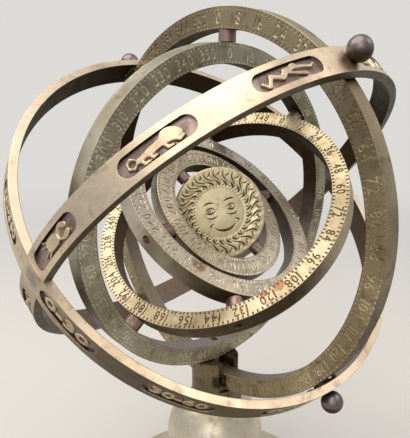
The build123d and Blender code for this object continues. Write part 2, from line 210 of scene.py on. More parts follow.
# %% The brass itself
def aged_brass(name, bright, dull, brown, roughness=0.32, drift=0.5, wall=None, wall_shade_colour="#3a2614",
               wall_low_light_colour="#8f8277", under=0.9, shade_below_colour="#352817", spots=(), pocket=None, grain=0.25,
               edge=0.35, lathe=None):
    """Aged brass. wall is the radius inside which a ring's inner wall gets painted shade, dark at its
    top and painted lighter towards its bottom, under is how much painted shade the faces that look
    down get, spots are stains as a place, a radius in millimetres and a colour, pocket is the axis of
    the band whose recesses get a mauve-grey floor and painted shadow along their sides, and lathe is
    the spacing of turned lines about the stand's axis."""
    material = bpy.data.materials.new(name)
    material.use_nodes = True
    tree = material.node_tree
    tree.nodes.clear()
    place = node(tree, "ShaderNodeTexCoord").outputs["Object"]

    def noise(scale, detail=4.0, rough=0.55):
        return node(tree, "ShaderNodeTexNoise", {"Vector": place, "Scale": scale, "Detail": detail,
                                                 "Roughness": rough}).outputs["Fac"]

    broad = noise(28.0)
    mottle = noise(190.0, 6.0, 0.65)
    fine = noise(1400.0, 3.0)
    shade = mixed(tree, ramp(tree, broad, drift - 0.16, drift + 0.16), colour(bright), colour(dull))
    shade = mixed(tree, maths(tree, "MULTIPLY", ramp(tree, mottle, 0.52, 0.72), 0.55), shade, colour(brown))
    shade = mixed(tree, maths(tree, "MULTIPLY", ramp(tree, fine, 0.55, 0.75), 0.25), shade, colour(brown))
    rough = node(tree, "ShaderNodeMapRange", {"Value": mottle, "From Min": 0.3, "From Max": 0.7,
                                              "To Min": roughness - 0.07, "To Max": roughness + 0.13})
    rough = rough.outputs["Result"]
    from_centre = node(tree, "ShaderNodeVectorMath", {0: place, 1: tuple(CENTRE)}, operation="SUBTRACT")
    # Painted shade in the inner walls: dark at their top and painted lighter towards their bottom.
    if wall:
        reach = length_of(tree, from_centre.outputs[0])
        inside = ramp(tree, reach, wall + 0.5 * MM, wall + 0.15 * MM)
        height = node(tree, "ShaderNodeSeparateXYZ", {0: from_centre.outputs[0]}).outputs["Z"]
        height = maths(tree, "ADD", height, wander(tree, broad, 0.05))
        low = ramp(tree, height, 0.1 * wall, -0.75 * wall)
        painted_walls = mixed(tree, low, colour(wall_shade_colour), colour(wall_low_light_colour))
        shade = mixed(tree, maths(tree, "MULTIPLY", inside, 0.9), shade, painted_walls)
        rough = maths(tree, "ADD", rough, maths(tree, "MULTIPLY", inside, 0.12))
    # Painted shade on the faces that look down, deepest where they face straight down.
    if under:
        facing = node(tree, "ShaderNodeTexCoord").outputs["Normal"]
        facing = node(tree, "ShaderNodeSeparateXYZ", {0: facing}).outputs["Z"]
        facing = maths(tree, "ADD", facing, wander(tree, broad, 0.5))
        painted_shade_below = maths(tree, "MULTIPLY", ramp(tree, facing, 0.1, -0.42), under)
        shade = mixed(tree, painted_shade_below, shade, colour(shade_below_colour))
        rough = maths(tree, "ADD", rough, maths(tree, "MULTIPLY", painted_shade_below, 0.1))
    # The recesses: a mauve-grey floor, with painted shadow darkening it along their sides.
    if pocket:
        reach = length_of(tree, from_centre.outputs[0])
        across = node(tree, "ShaderNodeVectorMath", {0: from_centre.outputs[0], 1: tuple(pocket)},
                      operation="DOT_PRODUCT").outputs["Value"]
        across = maths(tree, "ABSOLUTE", across)
        sunk = maths(tree, "MULTIPLY", ramp(tree, reach, 99.95 * MM, 99.4 * MM),
                     ramp(tree, reach, 97.4 * MM, 97.6 * MM))
        between = ramp(tree, across, RECESS_HALF + 0.1 * MM, RECESS_HALF - 0.1 * MM)
        sunk = maths(tree, "MULTIPLY", sunk, between)
        recess_floor_and_shadow = mixed(tree, ramp(tree, mottle, 0.4, 0.6), colour("#a08f8c"), colour("#7a6a66"))
        recess_floor_and_shadow = mixed(tree, ramp(tree, across, 2.9 * MM, 3.7 * MM), recess_floor_and_shadow, colour("#2b2018"))
        shade = mixed(tree, maths(tree, "MULTIPLY", sunk, 0.92), shade, recess_floor_and_shadow)
        rough = maths(tree, "ADD", rough, maths(tree, "MULTIPLY", sunk, 0.15))
    for spot, radius, tint in spots:
        offset = node(tree, "ShaderNodeVectorMath", {0: from_centre.outputs[0], 1: [c * MM for c in spot]},
                      operation="SUBTRACT")
        reach = length_of(tree, offset.outputs[0])
        reach = maths(tree, "ADD", reach, wander(tree, mottle, 9 * MM))
        stain = maths(tree, "MULTIPLY", ramp(tree, reach, radius * MM, 0.35 * radius * MM), 0.8)
        shade = mixed(tree, stain, shade, colour(tint))
    bumps = maths(tree, "ADD", fine, maths(tree, "MULTIPLY", mottle, 0.8))
    if lathe:
        flat = node(tree, "ShaderNodeSeparateXYZ", {0: place})
        x, y, z = flat.outputs
        squares = maths(tree, "ADD", maths(tree, "MULTIPLY", x, x), maths(tree, "MULTIPLY", y, y))
        along = maths(tree, "ADD", maths(tree, "SQRT", squares), z)
        lines = node(tree, "ShaderNodeTexNoise", {"W": maths(tree, "DIVIDE", along, lathe), "Scale": 1.0,
                                                  "Detail": 2.0}, noise_dimensions="1D").outputs["Fac"]
        bumps = maths(tree, "ADD", bumps, maths(tree, "MULTIPLY", lines, 1.6))
        rough = maths(tree, "ADD", rough, wander(tree, lines, 0.25))
    rounded = node(tree, "ShaderNodeBevel", {"Radius": edge * MM}, samples=4)
    bump = node(tree, "ShaderNodeBump", {"Height": bumps, "Strength": grain, "Distance": 0.12 * MM,
                                         "Normal": rounded.outputs[0]})
    shader = node(tree, "ShaderNodeBsdfPrincipled", {"Base Color": shade, "Metallic": 1.0,
                                                     "Roughness": rough, "Normal": bump.outputs[0]})
    output = node(tree, "ShaderNodeOutputMaterial")
    tree.links.new(shader.outputs[0], output.inputs[0])
    return material


# %% [markdown]
# ## Finishes by piece
# The outer bands are handled most and shine palest. The rings' tones are painted light and shade,
# from olive on the outer rings to warm yellow inside, and the floor of each engraving is painted,
# pale as a highlight on some and dark as shade on the third ring.

# %% The finishes
RUST = "#97603f"
# Near-black patches where the outer ring passes through the post's fork.
FORK_BLACK = "#1d160d"
LEAD = "#7d7a74"


def cage_brass(name, across):
    """The bands' brass: dark recesses with painted shadow at their sides, painted shade in the inner walls,
    and grey solder where the two bands cross.
    """
    spots = [(crossing * 98 * sign, 6.5, LEAD) for sign in (1, -1)]
    return aged_brass(name, "#f0dcc0", "#cdb79c", "#937e68", 0.34, 0.54, BAND_INNER, "#3a230f", "#8a7a70",
                      shade_below_colour="#2f2618", spots=spots, pocket=across)


band_brass_a = cage_brass("cast_brass_sign_band", normal_a)
band_brass_b = cage_brass("cast_brass_number_band", normal_b)
# Rings of rolled brass plate, olive on the outside and paler towards the sun: tones painted as light and
# shade, with painted shade in their inner walls.
ring_brass = {
    "ring_1": aged_brass("rolled_brass_ring_1", "#b9a987", "#8c7d62", "#4a3d28", 0.36, 0.48,
                         RINGS["ring_1"][1], "#38230f", "#a89c8c",
                         spots=[((9.5, -4.1, -87.5), 3, FORK_BLACK), ((9.2, -4.1, -92.5), 3, FORK_BLACK)]),
    "ring_2": aged_brass("rolled_brass_ring_2", "#c9c2aa", "#989078", "#5a523c", 0.37, 0.5,
                         RINGS["ring_2"][1], "#2e1d10", "#b3a8a0"),
    "ring_3": aged_brass("rolled_brass_ring_3", "#d2c4a6", "#ac9c7c", "#776548", 0.43, 0.5,
                         RINGS["ring_3"][1], "#2c1a0c", "#5a3d1e",
                         spots=[((53.5, -16.5, -19.6), 4, RUST), ((48.8, -21.2, -22.9), 3, RUST)]),
    "ring_4": aged_brass("rolled_brass_ring_4", "#e8ddc6", "#ccbfa8", "#9a8c78", 0.38, 0.52,
                         RINGS["ring_4"][1], "#3f3228", "#8d857c", spots=[((25.7, -36.4, -13.5), 4.5, RUST)]),
    "ring_5": aged_brass("rolled_brass_ring_5", "#ddd1b8", "#c0b39b", "#8d8172", 0.38, 0.52,
                         RINGS["ring_5"][1], "#3f3228", "#8d857c"),
}
# The floors of their cuts: a painted highlight in most of them, painted shade in the third ring's.
groove_light_and_shade = {
    "ring_1": aged_brass("groove_ring_1", "#efe2bc", "#8d7b52", "#4a3c20", 0.4, under=0),
    "ring_2": aged_brass("groove_ring_2", "#f8f2dc", "#c6bd9c", "#7d7454", 0.4, under=0),
    "ring_3": aged_brass("groove_ring_3", "#93804f", "#6a5736", "#382812", 0.55, under=0),
    "ring_4": aged_brass("groove_ring_4", "#fbf5e8", "#b8aa90", "#655a46", 0.42, under=0),
    "ring_5": aged_brass("groove_ring_5", "#fbf5e8", "#c0b498", "#6e6350", 0.42, under=0),
}
# Cast figures, copper pins, dark finials, and the turned stand with its fine lathe lines.
relief_brass = aged_brass("relief_signs", "#ead8bb", "#cab498", "#937e66", 0.36, under=0.5)
pin_brass = aged_brass("copper_pins", "#b59a90", "#8b7066", "#523f38", 0.42, grain=0.15)
ball_brass = aged_brass("finial_balls", "#887d7c", "#5c5155", "#352c2c", 0.36, grain=0.15)
post_brass = aged_brass("turned_post", "#85785f", "#655943", "#3a301f", 0.38, lathe=0.5 * MM,
                        spots=[((7.9, -7, -90), 5, FORK_BLACK), ((8, 7, -84), 7, FORK_BLACK),
                               ((-0.7, -12.6, -79.5), 2.6, FORK_BLACK)])
# The knop's faces that look down get a paler painted shade.
knop_brass = aged_brass("turned_knop", "#ddd4c0", "#c5baa2", "#9b8f74", 0.4, under=0.4,
                        shade_below_colour="#7d6f4e", lathe=0.6 * MM)
base_brass = aged_brass("turned_base", "#e0d5bd", "#c9bd9f", "#a39572", 0.4, under=0.5, lathe=0.5 * MM)
# Lead solder gone black.
solder = aged_brass("old_solder", "#55523f", "#2e2c20", "#141108", 0.6, grain=0.6, under=0)

# %% The sun's brass, darker where it is cut
sun_brass = aged_brass("carved_brass_sun", "#dccdaa", "#c2b18c", "#978661", 0.42, 0.55, under=0.3)
tree = sun_brass.node_tree
shader = tree.nodes["Principled BSDF"]
plain = shader.inputs["Base Color"].links[0].from_socket
# The cuts are darkened by their depth.
depth = node(tree, "ShaderNodeAttribute", attribute_name="cut").outputs["Fac"]
cut_darkening = maths(tree, "MULTIPLY", ramp(tree, depth, 0.14, 0.45), 0.85)
tree.links.new(mixed(tree, cut_darkening, plain, colour("#33281a")), shader.inputs["Base Color"])

# %% Steel and felt under the base
steel = aged_brass("zinc_plated_steel", "#b8b9bb", "#8f9194", "#5c5d60", 0.35)
felt = bpy.data.materials.new("wool_felt")
felt.use_nodes = True
tree = felt.node_tree
fibres = node(tree, "ShaderNodeTexNoise", {"Vector": node(tree, "ShaderNodeTexCoord").outputs["Object"],
                                           "Scale": 900.0, "Detail": 6.0})
cloth = tree.nodes["Principled BSDF"]
wool = mixed(tree, fibres.outputs["Fac"], colour("#12301f"), colour("#2c5a3c"))
tree.links.new(wool, cloth.inputs["Base Color"])
fuzz = node(tree, "ShaderNodeBump", {"Height": fibres.outputs["Fac"], "Strength": 0.8, "Distance": 0.3 * MM})
tree.links.new(fuzz.outputs[0], cloth.inputs["Normal"])
cloth.inputs["Roughness"].default_value = 0.95
cloth.inputs["Sheen Weight"].default_value = 0.3


# %% Finishes on the CAD nodes
def dress(name, material):
    """The node's mesh takes one finish."""
    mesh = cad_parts[name].data
    mesh.materials.clear()
    mesh.materials.append(material)


finishes = {"band_a": band_brass_a, "band_b": band_brass_b, "fork_post": post_brass, "knop": knop_brass,
            "base_plate": base_brass, "felt_ring": felt, "tie_rod": steel, "washer": steel,
            "nut": steel, "fork_rivet": post_brass}
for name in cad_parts:
    if name.startswith("pivot"):
        finishes[name] = pin_brass
    if name.startswith("finial"):
        finishes[name] = ball_brass
for name, material in finishes.items():
    dress(name, material)
print("dressed", len(finishes), "nodes")

# %% [markdown]
# ## Engraved rings
# Each ring's face carries a scale: ticks at both edges and numbers that stand outwards all round.
# They were cut with punches and a graver, so here they are real cuts. A flat curve holds the two
# circles of the ring and every tick and digit inside them, which become holes when it is filled.
# Given a thickness, it is a plate with the scale cut through, and a thinner ring behind it is the
# floor of the cuts.

# %% Digits as curves
CUT = 0.35 * MM
TICK_WIDTH = 0.6 * MM


def digit_curve(character):
    """The outline of one digit, one unit high, and its width."""
    start_clean()
    bpy.ops.object.text_add()
    text = bpy.context.object
    text.data.body = character
    text.data.offset = 0.034
    bpy.ops.object.convert(target="CURVE")
    outline = bpy.context.object
    splines = []
    for spline in outline.data.splines:
        splines.append([(p.co.copy(), p.handle_left.copy(), p.handle_right.copy())
                        for p in spline.bezier_points])
    xs = [p[0].x for s in splines for p in s]
    low = min(xs)
    ys = [p[0].y for s in splines for p in s]
    tall = max(ys) - min(ys)
    base = min(ys)
    for s in splines:
        for p in s:
            for c in p:
                c.x = (c.x - low) / tall
                c.y = (c.y - base) / tall - 0.5
    bpy.data.objects.remove(outline)
    return splines, (max(xs) - low) / tall


digits = {character: digit_curve(character) for character in "0123456789"}
print("digit widths", {c: round(d[1], 2) for c, d in digits.items()})


# %% Cutting shapes into a flat curve
def circle_in(curve, radius):
    """A full circle added to a flat curve."""
    spline = curve.splines.new("BEZIER")
    spline.bezier_points.add(7)
    hold = radius * 4 / 3 * math.tan(math.radians(45) / 4)
    for k, point in enumerate(spline.bezier_points):
        a = math.radians(45 * k)
        out = Vector((math.cos(a), math.sin(a), 0))
        side = Vector((-math.sin(a), math.cos(a), 0))
        point.co = out * radius
        point.handle_left = point.co - side * hold
        point.handle_right = point.co + side * hold
    spline.use_cyclic_u = True
    spline.resolution_u = 24


def tick_in(curve, degrees, start, end, width):
    """A short radial cut."""
    spline = curve.splines.new("POLY")
    spline.points.add(3)
    a = math.radians(degrees)
    out = Vector((math.cos(a), math.sin(a), 0))
    side = Vector((-math.sin(a), math.cos(a), 0)) * width / 2
    corners = (out * start - side, out * end - side, out * end + side, out * start + side)
    for point, corner in zip(spline.points, corners):
        point.co = (*corner, 1)
    spline.use_cyclic_u = True


def number_in(curve, value, degrees, radius, height, squeeze):
    """A number, its top away from the centre."""
    spacing = 0.2 * height
    widths = [digits[c][1] * height * squeeze for c in value]
    x = -(sum(widths) + spacing * (len(value) - 1)) / 2
    turn = Matrix.Rotation(math.radians(degrees - 90), 3, "Z")
    for character, width in zip(value, widths):
        for points in digits[character][0]:
            spline = curve.splines.new("BEZIER")
            spline.bezier_points.add(len(points) - 1)
            for target, source in zip(spline.bezier_points, points):
                flat = [turn @ Vector((x + c.x * height * squeeze, radius + c.y * height, 0)) for c in source]
                target.co, target.handle_left, target.handle_right = flat
            spline.use_cyclic_u = True
            spline.resolution_u = 2
        x += width + spacing


# %% A ring with both faces engraved
NUMBER_STEP = {"ring_1": 8, "ring_2": 10, "ring_3": 12, "ring_4": 15, "ring_5": 20}
TICK_STEP = {"ring_1": 1.5, "ring_2": 1.5, "ring_3": 2, "ring_4": 2.5, "ring_5": 3}


def face_plate(name, outer, inner):
    """The cut plate of one face, flat at the origin, its top at height 0."""
    curve = bpy.data.curves.new(name, "CURVE")
    curve.dimensions = "2D"
    curve.fill_mode = "BOTH"
    circle_in(curve, outer)
    circle_in(curve, inner)
    step = TICK_STEP[name]
    for k in range(round(360 / step)):
        tick_in(curve, k * step, outer - 1.5 * MM, outer - 0.4 * MM, TICK_WIDTH)
        tick_in(curve, k * step, inner + 0.4 * MM, inner + 1.45 * MM, TICK_WIDTH)
    for k in range(0, 360, NUMBER_STEP[name]):
        height = 0.53 * (outer - inner)
        number_in(curve, str(k), -k + 1.5, (outer + inner) / 2, height, 0.86)
    bevel = 0.1 * MM
    curve.bevel_depth = bevel
    curve.bevel_resolution = 0
    curve.offset = -bevel
    curve.extrude = CUT / 2
    plate = bpy.data.objects.new(name, curve)
    bpy.context.collection.objects.link(plate)
    pick(plate)
    bpy.ops.object.convert(target="MESH")
    plate = bpy.context.object
    top = max(v.co.z for v in plate.data.vertices)
    plate.data.transform(Matrix.Translation((0, 0, -top)))
    return plate


def tube(outer, inner, height):
    """A plain flat ring about the origin."""
    start_clean()
    bpy.ops.mesh.primitive_cylinder_add(vertices=192, radius=outer, depth=height)
    blank = bpy.context.object
    start_clean()
    bpy.ops.mesh.primitive_cylinder_add(vertices=192, radius=inner, depth=2 * height)
    bore = bpy.context.object
    cut_out(blank, bore)
    return blank


def cut_out(piece, tool):
    """A boolean cut, applied."""
    pick(piece)
    cut = piece.modifiers.new("cut", "BOOLEAN")
    cut.operation = "DIFFERENCE"
    cut.object = tool
    bpy.ops.object.modifier_apply(modifier=cut.name)
    bpy.data.objects.remove(tool)


def drilled(piece, axis, radius, length, back_home, kept=None):
    """A hole along an axis through the sphere's centre, left out where a kept piece is."""
    start_clean()
    bpy.ops.mesh.primitive_cylinder_add(vertices=28, radius=radius, depth=length)
    drill = bpy.context.object
    turn = UP.rotation_difference(axis).to_matrix().to_4x4()
    drill.data.transform(back_home @ Matrix.Translation(CENTRE) @ turn)
    if kept:
        cut_out(drill, kept)
    cut_out(piece, drill)


def engraved_ring(name, body):
    """The ring with its engraved faces and pivot holes."""
    outer, inner, thick = RINGS[name]
    floor = tube(outer - 0.03 * MM, inner + 0.03 * MM, thick - 2 * CUT)
    place = placed(carried_on[name], normal[name])
    back_home = place.inverted()
    for axis in {tuple(carried_on[name]), tuple(carries[name])}:
        drilled(floor, Vector(axis), PIN_HOLE, 2.4 * outer, back_home)
    if name == "ring_1":
        for axis in (finial_axis_a, finial_axis_b):
            drilled(floor, axis, SPIGOT_HOLE, 2.4 * outer, back_home, tube(89 * MM, 80 * MM, 20 * MM))
    floor.data.materials.append(ring_brass[name])
    floor.data.materials.append(groove_light_and_shade[name])
    for polygon in floor.data.polygons:
        polygon.material_index = 1 if abs(polygon.normal.z) > 0.9 else 0
    plate = face_plate(name, outer, inner)
    plate.data.materials.append(ring_brass[name])
    under = plate.copy()
    under.data = plate.data.copy()
    bpy.context.collection.objects.link(under)
    plate.data.transform(Matrix.Translation((0, 0, thick / 2)))
    under.data.transform(Matrix.Rotation(math.pi, 4, "X") @ Matrix.Translation((0, 0, thick / 2)))
    pick(plate, under, floor)
    bpy.ops.object.join()
    ring = bpy.context.object
    settle(ring, place, name + "_engraved")
    outward(ring)
    smooth(ring, 25)
    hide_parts(name)
    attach(ring, body)
    print(ring.name, len(ring.data.polygons), "faces")
    return ring


body_of_ring = {"ring_1": "stand_and_cage", "ring_2": "second_ring", "ring_3": "third_ring",
                "ring_4": "fourth_ring", "ring_5": "fifth_ring"}
for name, body in body_of_ring.items():
    engraved_ring(name, body)

# %% [markdown]
# ## The carved sun
# The disc is a casting, gouged by hand: a round face a little proud, a line of punched dots and
# two rows of curling rays. A polar grid is spun up from one subdivided edge, and each vertex is
# then lowered where a gouge passes, deep in its middle and shallow at its ends.

# %% A spun grid
SUN_RADIUS = 23.0
SUN_HALF = 2.5
FACE_RADIUS = 12.4


def spun_disc(rows, steps):
    """A disc of one edge spun about Z, in millimetres."""
    start_clean()
    bpy.ops.mesh.primitive_plane_add(size=1)
    disc = bpy.context.object
    bpy.ops.object.mode_set(mode="EDIT")
    bpy.ops.mesh.select_all(action="SELECT")
    bpy.ops.mesh.delete(type="VERT")
    bpy.ops.object.mode_set(mode="OBJECT")
    disc.data.vertices.add(rows + 1)
    for k, vertex in enumerate(disc.data.vertices):
        vertex.co = (SUN_RADIUS * k / rows, 0, 0)
    disc.data.edges.add(rows)
    for k, line in enumerate(disc.data.edges):
        line.vertices = (k, k + 1)
    disc.data.update()
    pick(disc)
    bpy.ops.object.mode_set(mode="EDIT")
    bpy.ops.mesh.select_all(action="SELECT")
    bpy.ops.mesh.spin(steps=steps, angle=2 * math.pi, center=(0, 0, 0), axis=(0, 0, 1), dupli=False)
    bpy.ops.mesh.select_all(action="SELECT")
    bpy.ops.mesh.remove_doubles(threshold=1e-4)
    bpy.ops.object.mode_set(mode="OBJECT")
    return disc


# %% Gouges and lines
def arc(x, y, radius, start, end, count=9):
    """Points on an arc."""
    angles = [math.radians(start + (end - start) * k / (count - 1)) for k in range(count)]
    return [(x + radius * math.cos(a), y + radius * math.sin(a)) for a in angles]


def curl(turn, low, high, lean, bow):
    """A ray's curling gouge between two radii, leaning round by some degrees."""
    points = []
    for k in range(7):
        t = k / 6
        r = low + (high - low) * t
        a = math.radians(turn + lean * t + bow * math.sin(math.pi * t))
        points.append((r * math.cos(a), r * math.sin(a)))
    return points


strokes = []
RAYS = 26
for k in range(RAYS):
    turn = 360 / RAYS * k
    strokes.append((curl(turn, 15.4, 21.3, 13, 7), 0.42, 0.62))
    strokes.append((curl(turn + 11.5, 18.3, 21.2, -6, -2), 0.3, 0.5))
    strokes.append((curl(turn + 6, 13.5, 16.2, 9, -4), 0.5, 0.6))
    strokes.append((curl(turn - 2, 13.6, 15.0, -5, 2), 0.26, 0.4))
for k in range(30):
    a = math.radians(20 + 7.5 * k)
    dot = (12.8 * math.cos(a), 12.8 * math.sin(a))
    strokes.append(([dot, dot], 0.3, 0.42))
left, right = (-4.4, 1.9), (6.3, 1.7)
for x, y in (left, right):
    strokes.append((arc(x, y - 1.7, 3.1, 32, 148), 0.3, 0.5))
    strokes.append((arc(x, y + 1.5, 2.9, 212, 328), 0.36, 0.55))
    strokes.append((arc(x, y, 1.05, 0, 360), 0.22, 0.4))
    strokes.append(([(x, y), (x, y)], 0.36, 0.45))
    strokes.append((arc(x, y - 0.9, 5.0, 55, 128), 0.4, 0.58))
    strokes.append((arc(x, y + 0.8, 4.6, 230, 310), 0.36, 0.52))
strokes.append((arc(0.9, -1.7, 7.4, 220, 320, 13), 0.55, 0.72))
strokes.append((arc(-5.2, -6.0, 1.3, 60, 200, 5), 0.32, 0.5))
strokes.append((arc(7.1, -6.0, 1.3, -20, 120, 5), 0.32, 0.5))


def sun_height(x, y):
    """Height of the carved face over the disc's middle plane, and how deep the cut is."""
    r = np.hypot(x, y)
    crown = 0.75 * np.clip(1 - (r / FACE_RADIUS) ** 2, 0, 1) ** 1.2
    bearing = np.degrees(np.arctan2(y, x)) - 2.2 * (r - 15.4)
    border = (0.3 + 0.28 * np.cos(np.radians(RAYS * (bearing - 8)))) * np.exp(-((r - 17.8) / 2.9) ** 2)
    rim = -0.5 * np.clip((r - 22.3) / 0.7, 0, 1) ** 2
    side = np.clip((x - 4) / 8, 0, 1)
    edge_line = -(0.02 + 0.1 * side) * np.exp(-((r - 12.2) / 0.3) ** 2)
    cut = np.zeros_like(x)
    for points, width, depth in strokes:
        count = len(points) - 1
        for k in range(count):
            (x1, y1), (x2, y2) = points[k], points[k + 1]
            length = max((x2 - x1) ** 2 + (y2 - y1) ** 2, 1e-9)
            t = np.clip(((x - x1) * (x2 - x1) + (y - y1) * (y2 - y1)) / length, 0, 1)
            d = np.hypot(x - x1 - t * (x2 - x1), y - y1 - t * (y2 - y1))
            taper = math.sin(math.pi * (k + 0.8) / (count + 0.6)) if count > 1 else 1.0
            aside = d / (width * (0.4 + 0.6 * taper))
            cut = np.maximum(cut, depth * taper * np.clip(1.25 - aside ** 2, 0, 1))
    return SUN_HALF + crown + border + rim + edge_line - cut, cut


# %% The sun disc, carved on both faces
disc = spun_disc(100, 400)
flat = np.zeros(len(disc.data.vertices) * 3)
disc.data.vertices.foreach_get("co", flat)
flat = flat.reshape(-1, 3)
height, cut = sun_height(flat[:, 0], flat[:, 1])
flat[:, 2] = height
disc.data.vertices.foreach_set("co", (flat * MM).ravel())
disc.data.update()
disc.data.materials.append(sun_brass)
disc.data.attributes.new("cut", "FLOAT", "POINT").data.foreach_set("value", cut.astype(np.float32))
other = disc.copy()
other.data = disc.data.copy()
bpy.context.collection.objects.link(other)
other.data.transform(Matrix.Rotation(math.pi, 4, "Y"))
pick(other, disc)
bpy.ops.object.join()
bpy.ops.object.mode_set(mode="EDIT")
bpy.ops.mesh.select_all(action="SELECT")
bpy.ops.mesh.remove_doubles(threshold=1e-6)
bpy.ops.mesh.select_all(action="DESELECT")
bpy.ops.mesh.select_non_manifold()
bpy.ops.mesh.bridge_edge_loops()
bpy.ops.object.mode_set(mode="OBJECT")
sun_up = turned(carried_on["sun_disc"], normal["sun_disc"], 150)
sun_right = sun_up.cross(normal["sun_disc"])
settle(disc, placed(sun_right, normal["sun_disc"]), "sun_carved")
outward(disc)
smooth(disc, 60)
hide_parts("sun_disc")
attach(disc, "sun")
print("sun", len(disc.data.polygons), "faces")

# %% [markdown]
# ## Signs and numbers in the recesses
# One band has twelve small creatures and people cast in relief, one to each recess, and the other
# has raised numbers. A relief is a fine grid whose height is the thickness of the figure's limbs,
# drawn as strokes with a width, and the part of the grid with no height is taken away.

